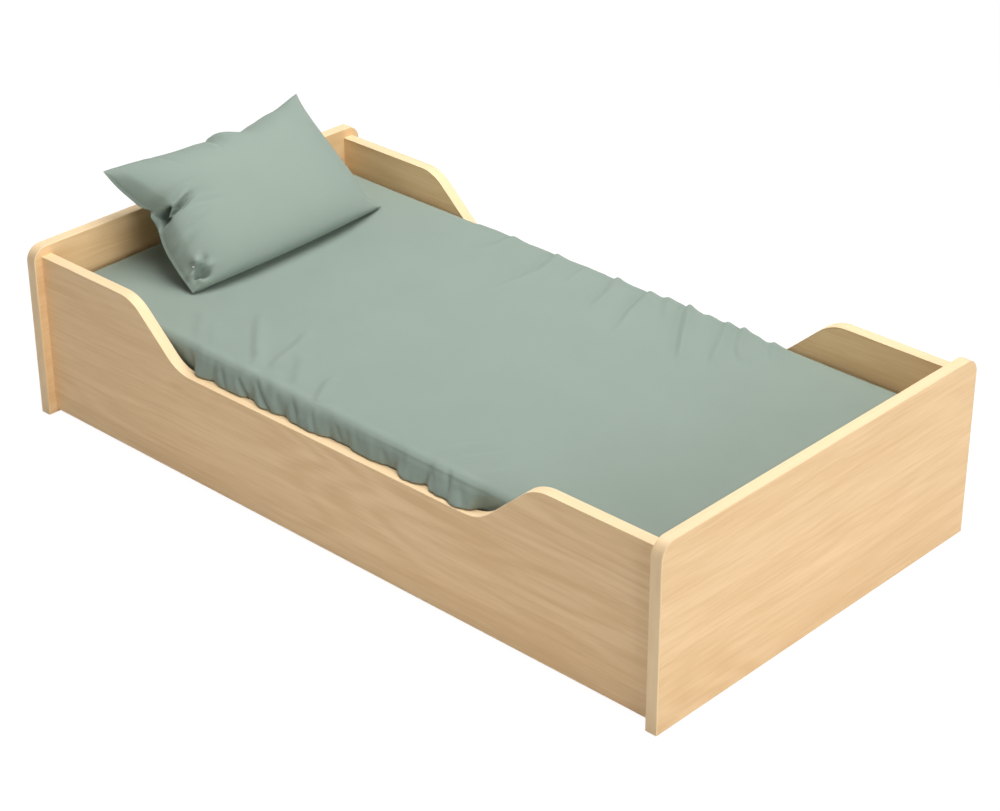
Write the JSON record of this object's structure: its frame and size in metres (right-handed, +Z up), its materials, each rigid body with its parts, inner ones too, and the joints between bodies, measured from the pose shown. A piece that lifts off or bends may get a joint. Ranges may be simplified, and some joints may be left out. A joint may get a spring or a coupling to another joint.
{
  "type": "child's bed",
  "caption": "Low child's bed in its bed form: laminated end boards, scooped side panels, slatted base, mattress in a gathered fitted sheet, and a small pillow.",
  "frame": {"origin": "on the floor, in the middle of the end boards' outline", "axes": "+X along the bed from the headboard to the footboard, +Y across it to the side away from the picture's camera, +Z up"},
  "size_m": [1.454, 0.788, 0.4316],
  "materials": {
    "board": "matt wood-look laminate, pale oak grain along each board",
    "edge_band": "matt wood-look edge band, a little paler than the faces",
    "steel": "bright zinc-plated steel",
    "cast_zinc": "cast zinc, satin",
    "beech": "plain turned beech",
    "pine": "planed pine, unvarnished",
    "webbing": "woven polyester tape",
    "foam": "open-cell foam",
    "cover_cloth": "white knitted cover",
    "sheet_cloth": "sage-green cotton jersey, matt",
    "elastic": "knitted elastic",
    "fibre": "polyester fibre filling"
  },
  "bodies": {
    "bed_frame": {"headboard": "board", "headboard_edge_band": "edge_band", "footboard": "board", "footboard_edge_band": "edge_band", "near_side_panel": "board", "near_side_edge_band": "edge_band", "far_side_panel": "board", "far_side_edge_band": "edge_band", "cam_bolts": "steel", "cam_locks": "cast_zinc", "joint_dowels": "beech", "near_slat_ledger": "pine", "far_slat_ledger": "pine", "ledger_screws": "steel", "slat_01": "pine", "slat_02": "pine", "slat_03": "pine", "slat_04": "pine", "slat_05": "pine", "slat_06": "pine", "slat_07": "pine", "slat_08": "pine", "slat_09": "pine", "slat_10": "pine", "slat_11": "pine", "slat_12": "pine", "slat_13": "pine", "near_slat_webbing": "webbing", "far_slat_webbing": "webbing", "webbing_staples": "steel", "slat_screws": "steel"},
    "mattress": {"mattress_core": "foam", "mattress_cover": "cover_cloth", "fitted_sheet": "sheet_cloth", "sheet_elastic": "elastic"},
    "pillow": {"pillow_filling": "fibre", "pillowcase": "sheet_cloth"}
  },
  "joints": [
    {"name": "mattress_lift", "type": "slide", "parent": "bed_frame", "child": "mattress", "axis": [0, 0, 1], "range_m": [0, 0.3]},
    {"name": "pillow_lift", "type": "slide", "parent": "mattress", "child": "pillow", "axis": [0, 0, 1], "range_m": [0, 0.25]}
  ]
}
